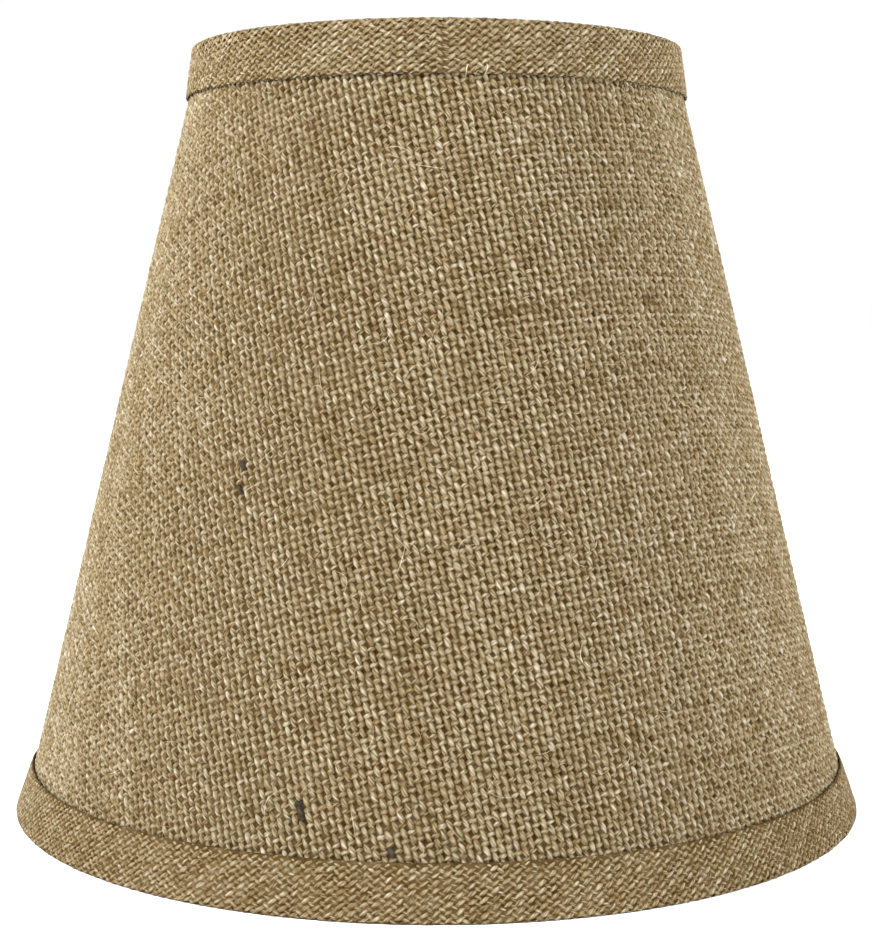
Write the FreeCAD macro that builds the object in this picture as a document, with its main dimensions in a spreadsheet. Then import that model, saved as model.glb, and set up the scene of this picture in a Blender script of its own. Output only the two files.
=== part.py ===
import FreeCAD, Part
import math
import os

import Sketcher

# A small hardback lamp shade: a rolled cone of burlap on styrene, stiffened by two wire rings,
# edged with folded burlap trims, and carried on a bulb by a tilting two-loop wire clip.
# Millimetres, +Z up. The origin is at the centre of the lower edge, on the surface it rests on.
# The lap of the rolled sheet is at +Y, and the fitter bridge runs along X.

SIZES = [
    ("bottom_diameter", 228.6, "cover across the lower edge"),
    ("top_diameter", 127.0, "cover across the upper edge"),
    ("shade_height", 203.2, "overall, trims included"),
    ("cover_thickness", 0.9, "burlap"),
    ("liner_thickness", 0.5, "styrene"),
    ("tape_thickness", 0.2, "double-sided seam tape"),
    ("glue_line", 0.05, "gap between layers that are glued"),
    ("lap_width", 10.0, "overlap of the rolled sheet"),
    ("lap_joggle", 1.5, "strip over which the liner's end steps inwards"),
    ("lap_inset", 3.0, "from a trim's edge to the end of a lap strip"),
    ("ring_wire", 2.4, "wire diameter of both rings"),
    ("trim_width", 12.7, "outer leg of a trim, along the slope"),
    ("trim_puff", 1.8, "thickness of the outer leg"),
    ("trim_fold", 1.2, "thickness of the fold over the edge"),
    ("trim_inner_width", 9.0, "inner leg of a trim, along the slope"),
    ("trim_inner_leg", 0.9, "thickness of the inner leg"),
    ("trim_rounding", 0.7, "rounded corners of the outer leg"),
    ("bridge_wire", 3.0, "wire diameter of the fitter bridge"),
    ("bridge_drop", 38.0, "upper edge to the middle of the bridge"),
    ("bridge_flat", 28.0, "straight part in the middle of the bridge"),
    ("bridge_bend", 8.0, "bend radius of the bridge"),
    ("bridge_snip", 0.4, "clearance of the top trim round the bridge"),
    ("plate_length", 16.0, "clip plates, along the bridge"),
    ("plate_width", 24.0, "clip plates, across the bridge"),
    ("plate_thickness", 0.8, "clip plates"),
    ("channel_clearance", 0.05, "radial, wire in its channel"),
    ("loop_wire", 1.8, "wire diameter of the spring loops"),
    ("loop_spread", 18.0, "between the two loops' channels"),
    ("loop_gap", 0.6, "between a loop's two ends, inside its channel"),
    ("loop_shoulder", 11.0, "middle of the clip to where a loop turns down"),
    ("loop_shoulder_bend", 3.0, "bend radius there"),
    ("loop_toe_bend", 9.0, "bend radius elsewhere"),
    ("rivet_spread", 9.6, "between the two rivets"),
    ("rivet_shank", 2.0, "rivet diameter"),
    ("rivet_head", 3.6, "rivet head diameter"),
    ("rivet_head_height", 0.7, "rivet head"),
    ("rivet_clearance", 0.05, "radial, rivet in its hole"),
    ("bulb_diameter", 60.0, "globe of a standard bulb"),
    ("bulb_drop", 3.0, "middle of the bridge to the top of the globe"),
    ("grip_stand_off", 0.7, "loop corners outside the globe, so that the runs between them touch it"),
]

doc = FreeCAD.newDocument("clip_on_lamp_shade")
sheet = doc.addObject("Spreadsheet::Sheet", "Sizes")
for line, (alias, size, meaning) in enumerate(SIZES, start=1):
    sheet.set(f"A{line}", alias)
    sheet.set(f"B{line}", str(size))
    sheet.setAlias(f"B{line}", alias)
    sheet.set(f"C{line}", meaning)
doc.recompute()

# ---- expressions shared by the pieces --------------------------------------------------------

TAPER = "((Sizes.bottom_diameter - Sizes.top_diameter) / 2 / Sizes.shade_height)"
SLOPE = f"atan({TAPER})"
WALL = "(Sizes.cover_thickness + Sizes.glue_line + Sizes.liner_thickness)"
LINER_FACE = "(Sizes.cover_thickness + Sizes.glue_line)"
BRIDGE_LEVEL = "(Sizes.shade_height - Sizes.bridge_drop)"
RING_DEPTH = f"({WALL} + Sizes.glue_line + Sizes.ring_wire / 2)"
RING_INSET = "(Sizes.trim_fold + Sizes.ring_wire / 2)"


def number(expression):
    """The present value of an expression, in millimetres or degrees."""
    result = sheet.evalExpression(expression)
    return float(getattr(result, "Value", result))


def radius_at(level, depth="0"):
    """Radius of the cone at a level, a given depth inside the cover's outer face."""
    return f"(Sizes.bottom_diameter / 2 - ({level}) * {TAPER} - ({depth}) / cos({SLOPE}))"


def from_bottom(distance):
    return f"({distance})"


def from_top(distance):
    return f"(Sizes.shade_height - ({distance}))"


def down_slope(width):
    """Height taken up by a width measured along the slope."""
    return f"(({width}) * cos({SLOPE}))"


# ---- building helpers ------------------------------------------------------------------------

def new_body(name):
    body = doc.addObject("PartDesign::Body", name)
    body.Label = name
    return body


def new_sketch(body, name, plane):
    sketch = body.newObject("Sketcher::SketchObject", f"{body.Name}_{name}")
    origin_plane = next(item for item in body.Origin.OriginFeatures if item.Role == plane)
    sketch.AttachmentSupport = [(origin_plane, "")]
    sketch.MapMode = "FlatFace"
    return sketch


def bind(sketch, constraint, expression):
    """Add a dimension to a sketch and drive it by an expression."""
    index = sketch.addConstraint(constraint)
    sketch.setExpression(f"Constraints[{index}]", expression)


def add_outline(sketch, points):
    """A closed outline of straight edges whose corners are pairs of expressions."""
    corners = [FreeCAD.Vector(number(across), number(up), 0) for across, up in points]
    first = sketch.GeometryCount
    count = len(points)
    for step in range(count):
        sketch.addGeometry(Part.LineSegment(corners[step], corners[(step + 1) % count]), False)
    for step in range(count):
        edge = first + step
        following = first + (step + 1) % count
        sketch.addConstraint(Sketcher.Constraint("Coincident", edge, 2, following, 1))
    for step, (across, up) in enumerate(points):
        bind(sketch, Sketcher.Constraint("DistanceX", first + step, 1, number(across)), across)
        bind(sketch, Sketcher.Constraint("DistanceY", first + step, 1, number(up)), up)


def add_circle(sketch, across, up, radius):
    """A circle whose centre and radius are expressions."""
    centre = FreeCAD.Vector(number(across), number(up), 0)
    circle = sketch.addGeometry(Part.Circle(centre, FreeCAD.Vector(0, 0, 1), number(radius)), False)
    bind(sketch, Sketcher.Constraint("DistanceX", circle, 3, number(across)), across)
    bind(sketch, Sketcher.Constraint("DistanceY", circle, 3, number(up)), up)
    bind(sketch, Sketcher.Constraint("Radius", circle, number(radius)), radius)


def add_half_disc(sketch, across, up, radius, side):
    """A half disc on a level chord; side is 1 for the upper half and -1 for the lower."""
    centre = FreeCAD.Vector(number(across), number(up), 0)
    circle = Part.Circle(centre, FreeCAD.Vector(0, 0, 1), number(radius))
    start = 0 if side > 0 else math.pi
    arc = sketch.addGeometry(Part.ArcOfCircle(circle, start, start + math.pi), False)
    reach = FreeCAD.Vector(side * number(radius), 0, 0)
    chord = sketch.addGeometry(Part.LineSegment(centre - reach, centre + reach), False)
    sketch.addConstraint(Sketcher.Constraint("Coincident", arc, 2, chord, 1))
    sketch.addConstraint(Sketcher.Constraint("Coincident", arc, 1, chord, 2))
    sketch.addConstraint(Sketcher.Constraint("Horizontal", chord))
    sketch.addConstraint(Sketcher.Constraint("PointOnObject", arc, 3, chord))
    bind(sketch, Sketcher.Constraint("DistanceX", arc, 3, number(across)), across)
    bind(sketch, Sketcher.Constraint("DistanceY", arc, 3, number(up)), up)
    bind(sketch, Sketcher.Constraint("Radius", arc, number(radius)), radius)


def revolve(body, sketch):
    turned = body.newObject("PartDesign::Revolution", f"{body.Name}_revolution")
    turned.Profile = sketch
    turned.ReferenceAxis = (sketch, ["V_Axis"])
    turned.Angle = 360
    return turned


def pad_both_ways(body, sketch, name, length):
    pad = body.newObject("PartDesign::Pad", f"{body.Name}_{name}")
    pad.Profile = sketch
    pad.Midplane = True
    pad.setExpression("Length", length)
    return pad


def pocket_both_ways(body, sketch, name, length):
    pocket = body.newObject("PartDesign::Pocket", f"{body.Name}_{name}")
    pocket.Profile = sketch
    pocket.Midplane = True
    pocket.setExpression("Length", length)
    return pocket


def lap_strip(name, outer_depth, inner_depth, left, width):
    """A strip of cone shell at the back, clear of both trims; depths are inside the cover's face."""
    low = from_bottom(f"{down_slope('Sizes.trim_width')} + Sizes.lap_inset")
    high = from_top(f"{down_slope('Sizes.trim_width')} + Sizes.lap_inset")
    cones = []
    for side, depth in (("outside", outer_depth), ("inside", inner_depth)):
        cone = doc.addObject("Part::Cone", f"{name}_{side}")
        cone.setExpression("Radius1", radius_at(low, depth))
        cone.setExpression("Radius2", radius_at(high, depth))
        cone.setExpression("Height", f"{high} - {low}")
        cone.setExpression("Placement.Base.z", low)
        cones.append(cone)
    shell = doc.addObject("Part::Cut", f"{name}_shell")
    shell.Base, shell.Tool = cones
    block = doc.addObject("Part::Box", f"{name}_block")
    block.setExpression("Length", width)
    block.setExpression("Width", "Sizes.bottom_diameter")
    block.setExpression("Height", "Sizes.shade_height")
    block.setExpression("Placement.Base.x", left)
    strip = doc.addObject("Part::Common", name)
    strip.Base = shell
    strip.Tool = block
    return strip


def join(label, shapes):
    joined = doc.addObject("Part::MultiFuse", f"{label}_joined")
    joined.Shapes = shapes
    joined.Label = label
    return joined


# ---- rolled sheet: cover, liner and the tape in its lap --------------------------------------

def cone_wall(name, outer_depth, inner_depth):
    """The rolled wall between two depths, from fold to fold."""
    body = new_body(name)
    sketch = new_sketch(body, "section", "XZ_Plane")
    low = from_bottom("Sizes.trim_fold")
    high = from_top("Sizes.trim_fold")
    add_outline(sketch, [
        (radius_at(low, outer_depth), low),
        (radius_at(high, outer_depth), high),
        (radius_at(high, inner_depth), high),
        (radius_at(low, inner_depth), low),
    ])
    revolve(body, sketch)
    return body


def make_cover():
    wall = cone_wall("cover_wall", "0", "Sizes.cover_thickness")
    lap = lap_strip("cover_lap", "-Sizes.cover_thickness", "Sizes.cover_thickness / 2",
                    "-Sizes.lap_width / 2", "Sizes.lap_width")
    return join("burlap_cover", [wall, lap])


def make_liner():
    wall = cone_wall("liner_wall", LINER_FACE, WALL)
    tape_back = f"{WALL} + Sizes.tape_thickness"
    flap = lap_strip("liner_flap", tape_back, f"{tape_back} + Sizes.liner_thickness",
                     "-Sizes.lap_width / 2", "Sizes.lap_width")
    joggle = lap_strip("liner_joggle", f"{WALL} - Sizes.liner_thickness / 2",
                       f"{tape_back} + Sizes.liner_thickness",
                       "-Sizes.lap_width / 2 - Sizes.lap_joggle", "Sizes.lap_joggle")
    return join("styrene_liner", [wall, flap, joggle])


def make_tape():
    tape = lap_strip("seam_tape", WALL, f"{WALL} + Sizes.tape_thickness",
                     "-Sizes.lap_width / 2", "Sizes.lap_width")
    tape.Label = "seam_tape"
    return tape


# ---- rings and trims -------------------------------------------------------------------------

def make_ring(name, level):
    """A wire ring inside the liner, just within the fold of a trim."""
    ring = doc.addObject("Part::Torus", name)
    ring.Label = name
    ring.setExpression("Radius1", radius_at(level(RING_INSET), RING_DEPTH))
    ring.setExpression("Radius2", "Sizes.ring_wire / 2")
    ring.setExpression("Placement.Base.z", level(RING_INSET))
    return ring


def make_trim(name, level):
    """A folded strip: outer leg, fold under the wall and ring, and inner leg."""
    body = new_body(name)
    sketch = new_sketch(body, "section", "XZ_Plane")
    outer_face = "-Sizes.glue_line - Sizes.trim_puff"
    cover_side = "-Sizes.glue_line"
    liner_side = f"{WALL} + Sizes.glue_line"
    ring_side = f"{WALL} + Sizes.ring_wire + 2 * Sizes.glue_line"
    edge = level("0")
    fold = level("Sizes.trim_fold - Sizes.glue_line")
    over_ring = level("Sizes.trim_fold + Sizes.ring_wire + Sizes.glue_line")
    outer_end = level(down_slope("Sizes.trim_width"))
    inner_end = level(down_slope("Sizes.trim_inner_width"))
    corners = [
        (outer_face, edge),
        (outer_face, outer_end),
        (cover_side, outer_end),
        (cover_side, fold),
        (ring_side, fold),
        (ring_side, over_ring),
        (liner_side, over_ring),
        (liner_side, inner_end),
        (f"{liner_side} + Sizes.trim_inner_leg", inner_end),
        (f"{ring_side} + Sizes.trim_inner_leg", over_ring),
        (f"{ring_side} + Sizes.trim_inner_leg", edge),
    ]
    add_outline(sketch, [(radius_at(height, depth), height) for depth, height in corners])
    folded = revolve(body, sketch)
    doc.recompute()
    rounded = body.newObject("PartDesign::Fillet", f"{name}_rounding")
    rounded.Base = (folded, [circle_edge(folded, radius_at(height, outer_face), height)
                             for height in (edge, outer_end)])
    rounded.setExpression("Radius", "Sizes.trim_rounding")
    return body


def circle_edge(feature, radius, level):
    """Name of the circular edge about Z with this radius and level."""
    for index, edge in enumerate(feature.Shape.Edges, start=1):
        if not isinstance(edge.Curve, Part.Circle):
            continue
        off_radius = abs(edge.Curve.Radius - number(radius))
        off_level = abs(edge.Curve.Center.z - number(level))
        if off_radius + off_level < 1e-4:
            return f"Edge{index}"
    raise ValueError(f"{feature.Name} has no circular edge at {level}")


def snip_for_bridge(body):
    """Slots in the trim's inner leg where the two ends of the bridge pass to the ring."""
    sketch = new_sketch(body, "snips", "YZ_Plane")
    half = "(Sizes.bridge_wire / 2 + Sizes.bridge_snip)"
    high = from_top("Sizes.trim_fold")
    low = from_top("Sizes.trim_width")
    add_outline(sketch, [(f"-{half}", low), (half, low), (half, high), (f"-{half}", high)])
    reach = radius_at(high, f"{WALL} + Sizes.glue_line")
    pocket_both_ways(body, sketch, "snip", f"2 * {reach}")


# ---- fitter ----------------------------------------------------------------------------------

def make_bridge():
    """A U of wire whose ends are welded to the inner side of the top ring."""
    body = new_body("fitter_bridge")
    level = from_top(RING_INSET)
    end_across = f"({radius_at(level, RING_DEPTH)} - Sizes.ring_wire / 4)"
    end_up = f"({level} - Sizes.ring_wire / 4)"
    half_flat = "Sizes.bridge_flat / 2"
    low = number(BRIDGE_LEVEL)
    bend = number("Sizes.bridge_bend")
    start = FreeCAD.Vector(0, low, 0)
    turn_in = FreeCAD.Vector(number(half_flat), low, 0)
    middle = turn_in + FreeCAD.Vector(0, bend, 0)
    rise = math.radians(38)
    turn_out = middle + FreeCAD.Vector(math.sin(rise), -math.cos(rise), 0) * bend
    end = FreeCAD.Vector(number(end_across), number(end_up), 0)
    path = new_sketch(body, "path", "XZ_Plane")
    bend_circle = Part.Circle(middle, FreeCAD.Vector(0, 0, 1), bend)
    path.addGeometry(Part.LineSegment(start, turn_in), False)
    path.addGeometry(Part.ArcOfCircle(bend_circle, -math.pi / 2, rise - math.pi / 2), False)
    path.addGeometry(Part.LineSegment(turn_out, end), False)
    path.addConstraint(Sketcher.Constraint("Horizontal", 0))
    path.addConstraint(Sketcher.Constraint("Tangent", 0, 2, 1, 1))
    path.addConstraint(Sketcher.Constraint("Tangent", 1, 2, 2, 1))
    path.addConstraint(Sketcher.Constraint("PointOnObject", 0, 1, -2))
    bind(path, Sketcher.Constraint("DistanceY", 0, 1, low), BRIDGE_LEVEL)
    bind(path, Sketcher.Constraint("DistanceX", 0, 2, number(half_flat)), half_flat)
    bind(path, Sketcher.Constraint("Radius", 1, bend), "Sizes.bridge_bend")
    bind(path, Sketcher.Constraint("DistanceX", 2, 2, number(end_across)), end_across)
    bind(path, Sketcher.Constraint("DistanceY", 2, 2, number(end_up)), end_up)
    section = new_sketch(body, "section", "YZ_Plane")
    add_circle(section, "0", BRIDGE_LEVEL, "Sizes.bridge_wire / 2")
    doc.recompute()
    half_bridge = body.newObject("PartDesign::AdditivePipe", "fitter_bridge_half")
    half_bridge.Profile = section
    half_bridge.Spine = path
    doc.recompute()
    mirrored = body.newObject("PartDesign::Mirrored", "fitter_bridge_mirrored")
    mirrored.Originals = [half_bridge]
    mirror_plane = next(item for item in body.Origin.OriginFeatures if item.Role == "YZ_Plane")
    mirrored.MirrorPlane = (mirror_plane, [""])
    body.Tip = mirrored
    return body, path.Shape.Length


def make_plate(name, side):
    """A stamped plate over (side 1) or under (side -1) the wires, with a channel for each."""
    body = new_body(name)
    bore_bridge = "(Sizes.bridge_wire / 2 + Sizes.channel_clearance)"
    bore_loop = "(Sizes.loop_wire / 2 + Sizes.channel_clearance)"
    channels = [
        ("0", bore_bridge),
        ("Sizes.loop_spread / 2", bore_loop),
        ("-Sizes.loop_spread / 2", bore_loop),
    ]
    flat = new_sketch(body, "flat", "YZ_Plane")
    half = "(Sizes.plate_width / 2)"
    far = f"({BRIDGE_LEVEL} + {side} * Sizes.plate_thickness)"
    add_outline(flat, [(f"-{half}", BRIDGE_LEVEL), (half, BRIDGE_LEVEL), (half, far), (f"-{half}", far)])
    pad_both_ways(body, flat, "plate", "Sizes.plate_length")
    ridges = new_sketch(body, "ridges", "YZ_Plane")
    for across, bore in channels:
        add_half_disc(ridges, across, BRIDGE_LEVEL, f"{bore} + Sizes.plate_thickness", side)
    pad_both_ways(body, ridges, "ridge", "Sizes.plate_length")
    bores = new_sketch(body, "bores", "YZ_Plane")
    for across, bore in channels:
        add_circle(bores, across, BRIDGE_LEVEL, bore)
    pocket_both_ways(body, bores, "bore", "2 * Sizes.plate_length")
    holes = new_sketch(body, "holes", "XY_Plane")
    for end in (1, -1):
        place = f"{end} * Sizes.rivet_spread / 2"
        add_circle(holes, "0", place, "Sizes.rivet_shank / 2 + Sizes.rivet_clearance")
    pocket_both_ways(body, holes, "hole", "3 * Sizes.shade_height")
    return body


def make_rivets():
    """Two rivets through both plates, as one group of separate solids."""
    grip = "Sizes.plate_thickness"
    parts = []
    for end in (1, -1):
        place = f"{end} * Sizes.rivet_spread / 2"
        solids = []
        for section, radius, low, height in (
            ("shank", "Sizes.rivet_shank / 2", f"{BRIDGE_LEVEL} - {grip}", f"2 * {grip}"),
            ("head", "Sizes.rivet_head / 2", f"{BRIDGE_LEVEL} + {grip}", "Sizes.rivet_head_height"),
            ("tail", "Sizes.rivet_head / 2", f"{BRIDGE_LEVEL} - {grip} - Sizes.rivet_head_height",
             "Sizes.rivet_head_height"),
        ):
            solid = doc.addObject("Part::Cylinder", f"rivet_{section}")
            solid.setExpression("Radius", radius)
            solid.setExpression("Height", height)
            solid.setExpression("Placement.Base.y", place)
            solid.setExpression("Placement.Base.z", low)
            solids.append(solid)
        rivet = doc.addObject("Part::MultiFuse", "rivet")
        rivet.Shapes = solids
        parts.append(rivet)
    group = doc.addObject("Part::Compound", "clip_rivets")
    group.Links = parts
    group.Label = "clip_rivets"
    return group


def rounded_path(points, radii):
    """Straight runs joined by tangent arcs; radii has one value for each inner point."""
    edges = []
    begin = points[0]
    for before, corner, after, radius in zip(points, points[1:], points[2:], radii):
        towards = (corner - before).normalize()
        away = (after - corner).normalize()
        half_turn = towards.getAngle(away) / 2
        tangent = radius * math.tan(half_turn)
        shorter = min((corner - before).Length, (after - corner).Length)
        if tangent > 0.5 * shorter:
            tangent = 0.45 * shorter
            radius = tangent / math.tan(half_turn)
        arc_start = corner - towards * tangent
        arc_end = corner + away * tangent
        inwards = (away - towards).normalize()
        arc_middle = corner + inwards * (radius / math.cos(half_turn) - radius)
        edges.append(Part.LineSegment(begin, arc_start).toShape())
        edges.append(Part.Arc(arc_start, arc_middle, arc_end).toShape())
        begin = arc_end
    edges.append(Part.LineSegment(begin, points[-1]).toShape())
    return Part.Wire(edges)


# Where one half of a loop's wire lies on the bulb's globe, as degrees round from X and above the
# middle, from the shoulder down the side to the toe.
HALF_COURSE = [(40, 40), (38, 18), (41, -6), (52, -25), (75, -34)]


def make_loop(name, side):
    """A spring wire loop bent to the globe; side is 1 at the back and -1 at the front."""
    level = number(BRIDGE_LEVEL)
    across = side * number("Sizes.loop_spread") / 2
    grip = number("Sizes.bulb_diameter / 2 + Sizes.loop_wire / 2 + Sizes.grip_stand_off")
    centre = FreeCAD.Vector(0, 0, level - number("Sizes.bulb_drop + Sizes.bulb_diameter / 2"))
    shoulder = number("Sizes.loop_shoulder")
    tip = number("Sizes.loop_gap") / 2
    points = [FreeCAD.Vector(tip, across, level), FreeCAD.Vector(shoulder, across, level)]
    course = HALF_COURSE + [(180 - around, above) for around, above in reversed(HALF_COURSE)]
    for around, above in course:
        turn = math.radians(around)
        lift = math.radians(above)
        points.append(centre + FreeCAD.Vector(
            grip * math.cos(lift) * math.cos(turn),
            side * grip * math.cos(lift) * math.sin(turn),
            grip * math.sin(lift)))
    points += [FreeCAD.Vector(-shoulder, across, level), FreeCAD.Vector(-tip, across, level)]
    tight = number("Sizes.loop_shoulder_bend")
    wide = number("Sizes.loop_toe_bend")
    radii = [tight] + [wide] * len(course) + [tight]
    path = rounded_path(points, radii)
    radius = number("Sizes.loop_wire / 2")
    section = Part.Wire(Part.Circle(points[0], FreeCAD.Vector(1, 0, 0), radius).toShape())
    loop = doc.addObject("Part::Feature", name)
    loop.Label = name
    loop.Shape = path.makePipeShell([section], True, False)
    return loop, path.Length


# ---- the whole shade -------------------------------------------------------------------------

cover = make_cover()
liner = make_liner()
tape = make_tape()
bottom_ring = make_ring("bottom_ring", from_bottom)
top_ring = make_ring("top_ring", from_top)
bottom_trim = make_trim("bottom_trim", from_bottom)
top_trim = make_trim("top_trim", from_top)
snip_for_bridge(top_trim)
bridge, bridge_half_length = make_bridge()
saddle = make_plate("clip_saddle", 1)
keeper = make_plate("clip_keeper", -1)
rivets = make_rivets()
loop_front, loop_front_length = make_loop("clip_loop_front", -1)
loop_back, loop_back_length = make_loop("clip_loop_back", 1)
doc.recompute()

# ---- checks and export -----------------------------------------------------------------------

NODES = [cover, liner, tape, bottom_ring, top_ring, bottom_trim, top_trim, bridge, saddle, keeper, rivets,
         loop_front, loop_back]


def check_wire(piece, wire, length):
    """A swept wire holds its section times its length."""
    expected = math.pi * (number(wire) / 2) ** 2 * length
    error = abs(piece.Shape.Volume - expected) / expected
    print(f"{piece.Label}: length {length:.1f} mm, volume off by {error * 100:.2f} %")
    if error > 0.02:
        raise ValueError(f"{piece.Label} is not a full sweep")


for item in doc.Objects:
    if "Invalid" in item.State or "Error" in item.State:
        raise ValueError(f"{item.Name} failed: {item.State}")
check_wire(bridge, "Sizes.bridge_wire", 2 * bridge_half_length)
check_wire(loop_front, "Sizes.loop_wire", loop_front_length)
check_wire(loop_back, "Sizes.loop_wire", loop_back_length)
for node in NODES:
    if node.Shape.isNull() or not node.Shape.isValid() or node.Shape.Volume <= 0:
        raise ValueError(f"{node.Label} has no valid solid")

os.makedirs("parts", exist_ok=True)
for node in NODES:
    node.Shape.exportStep(f"parts/{node.Label}.step")
    box = node.Shape.BoundBox
    print(f"{node.Label}: {len(node.Shape.Solids)} solid, {node.Shape.Volume:.0f} mm3, "
          f"z {box.ZMin:.2f} to {box.ZMax:.2f}, x {box.XMin:.2f} to {box.XMax:.2f}")
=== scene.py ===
# %% [markdown]
# # A clip-on lamp shade in burlap
# The shade is a cone of jute burlap glued to a stiff white liner, edged with two bias-cut folds of the
# same cloth, and carried by a wire clip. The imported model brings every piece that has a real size. The
# cloth is made here, because its yarns are what the eye sees.

# %% Load the frame
import math

import bmesh
import bpy
import numpy as np
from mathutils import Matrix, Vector


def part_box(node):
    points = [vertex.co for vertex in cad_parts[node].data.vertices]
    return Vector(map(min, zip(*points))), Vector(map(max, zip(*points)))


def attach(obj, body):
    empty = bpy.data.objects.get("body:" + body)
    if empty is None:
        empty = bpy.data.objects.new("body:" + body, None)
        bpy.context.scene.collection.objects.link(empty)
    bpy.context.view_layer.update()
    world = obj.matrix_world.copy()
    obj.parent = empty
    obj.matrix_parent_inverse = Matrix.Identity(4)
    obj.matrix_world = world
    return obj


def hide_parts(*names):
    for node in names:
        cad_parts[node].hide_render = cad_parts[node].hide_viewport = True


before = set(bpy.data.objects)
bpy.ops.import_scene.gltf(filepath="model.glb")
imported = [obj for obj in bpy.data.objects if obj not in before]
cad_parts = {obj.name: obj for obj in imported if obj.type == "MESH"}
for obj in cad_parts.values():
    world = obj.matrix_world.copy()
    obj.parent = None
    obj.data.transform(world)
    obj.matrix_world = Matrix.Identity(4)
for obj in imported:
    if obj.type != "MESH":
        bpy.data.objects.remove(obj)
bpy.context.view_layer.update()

MM = 0.001

# %% [markdown]
# The cone's slope and radii are read from the cover's own mesh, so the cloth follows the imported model
# when its sizes change. The widest points at its lowest and highest level give the slope. At the back
# the cover laps over itself by ten millimetres, and there it stands one cloth higher.

# %% Measure the cone
cover_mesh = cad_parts["burlap_cover"].data
cover_points = np.array([vertex.co for vertex in cover_mesh.vertices])
cover_radii = np.hypot(cover_points[:, 0], cover_points[:, 1])
WALL_LOW, WALL_HIGH = cover_points[:, 2].min(), cover_points[:, 2].max()
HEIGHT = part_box("top_trim")[1].z
RADIUS_LOW = cover_radii[cover_points[:, 2] < WALL_LOW + 0.1 * MM].max()
RADIUS_HIGH = cover_radii[cover_points[:, 2] > WALL_HIGH - 0.1 * MM].max()
TAPER = (RADIUS_LOW - RADIUS_HIGH) / (WALL_HIGH - WALL_LOW)
SLOPE = math.atan(TAPER)
APEX = WALL_LOW + RADIUS_LOW / TAPER
LAP_HALF = 5 * MM
LAP_RISE = 0.9 * MM


def radius_at(level):
    """Radius of the cover's outer face at a level."""
    return RADIUS_LOW - (level - WALL_LOW) * TAPER


print(f"slope {math.degrees(SLOPE):.2f} degrees, apex at {APEX:.3f} m")

# %% [markdown]
# The camera stands close to the shade and a little above its middle, and looks slightly down, so the
# top edge curves up and the bottom edge curves down. Soft lamps on the left and the right light the
# two sides, a weak one stands high in front, and one behind lights the hidden side. The middle of the
# cone stays a little darker than its sides.

# %% Camera, lights and floor
def add_camera():
    bpy.ops.object.camera_add(location=(0, -0.5126, 0.1385), rotation=(math.radians(83.12), 0, 0))
    camera = bpy.context.object
    camera.data.lens = 70.6
    camera.data.sensor_width = 36
    camera.data.shift_x = -0.0006
    camera.data.shift_y = 0.05
    camera.data.clip_start = 0.01
    bpy.context.scene.camera = camera


def add_soft_lamp(name, place, width, power):
    """A square lamp that faces the middle of the shade."""
    bpy.ops.object.light_add(type="AREA", location=place)
    lamp = bpy.context.object
    lamp.name = name
    lamp.data.size = width
    lamp.data.energy = power
    towards = Vector((0, 0, HEIGHT / 2)) - Vector(place)
    lamp.rotation_euler = towards.to_track_quat("-Z", "Y").to_euler()


def add_floor():
    bpy.ops.mesh.primitive_circle_add(vertices=96, radius=60, fill_type="NGON", location=(0, 0, -0.1 * MM))
    floor = bpy.context.object
    floor.name = "floor"
    return floor


bpy.ops.object.select_all(action="DESELECT")
add_camera()
add_soft_lamp("left_lamp", (-1.08, -0.53, 0.75), 0.4, 36)
add_soft_lamp("right_lamp", (1.04, -0.48, 0.6), 0.45, 21)
add_soft_lamp("top_lamp", (-0.5, -0.9, 1.3), 0.3, 7)
add_soft_lamp("back_lamp", (0.2, 1.2, 0.8), 0.5, 14)
floor = add_floor()
bpy.context.scene.world = bpy.data.worlds.new("studio")
bpy.context.scene.world.use_nodes = True
sky = bpy.context.scene.world.node_tree.nodes["Background"]
sky.inputs["Color"].default_value = (1, 1, 1, 1)
sky.inputs["Strength"].default_value = 1.03
bpy.context.scene.view_settings.view_transform = "Standard"
lamps = [thing.name for thing in bpy.data.objects if thing.type == "LIGHT"]
print("placed the camera,", ", ".join(lamps), "and", floor.name)

# %% [markdown]
# Shader maths reads best as arithmetic. This class wraps one output socket. Sums, products and
# differences of wrapped sockets add the Math nodes, and `node` adds any other node.

# %% A socket that can be used in sums
class Socket:
    def __init__(self, tree, output=None):
        self.tree = tree
        self.output = output

    def node(self, kind, settings=None, inputs=None, output=0):
        """Add a node, set its settings, fill its inputs, and give back one of its outputs."""
        made = self.tree.nodes.new(kind)
        for name, value in (settings or {}).items():
            if name == "stops":
                self.set_stops(made.color_ramp, value)
            else:
                setattr(made, name, value)
        for name, value in (inputs or {}).items():
            if isinstance(value, Socket):
                self.tree.links.new(value.output, made.inputs[name])
            else:
                made.inputs[name].default_value = value
        return Socket(self.tree, made.outputs[output])

    @staticmethod
    def set_stops(ramp, stops):
        """Each stop is a place from 0 to 1 and a colour."""
        while len(ramp.elements) < len(stops):
            ramp.elements.new(0.5)
        for element, (place, colour) in zip(ramp.elements, stops):
            element.position = place
            element.color = (*colour, 1)

    def maths(self, operation, first, second):
        return self.node("ShaderNodeMath", {"operation": operation}, {0: first, 1: second})

    def __add__(self, other):
        return self.maths("ADD", self, other)

    def __sub__(self, other):
        return self.maths("SUBTRACT", self, other)

    def __rsub__(self, other):
        return self.maths("SUBTRACT", other, self)

    def __mul__(self, other):
        return self.maths("MULTIPLY", self, other)

    __radd__ = __add__
    __rmul__ = __mul__


print("sockets can be added, subtracted and multiplied")

# %% [markdown]
# Every finish starts from one shader. What is the same all over a piece is set on the shader's own
# sockets, and what changes over its surface is linked to them.

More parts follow.
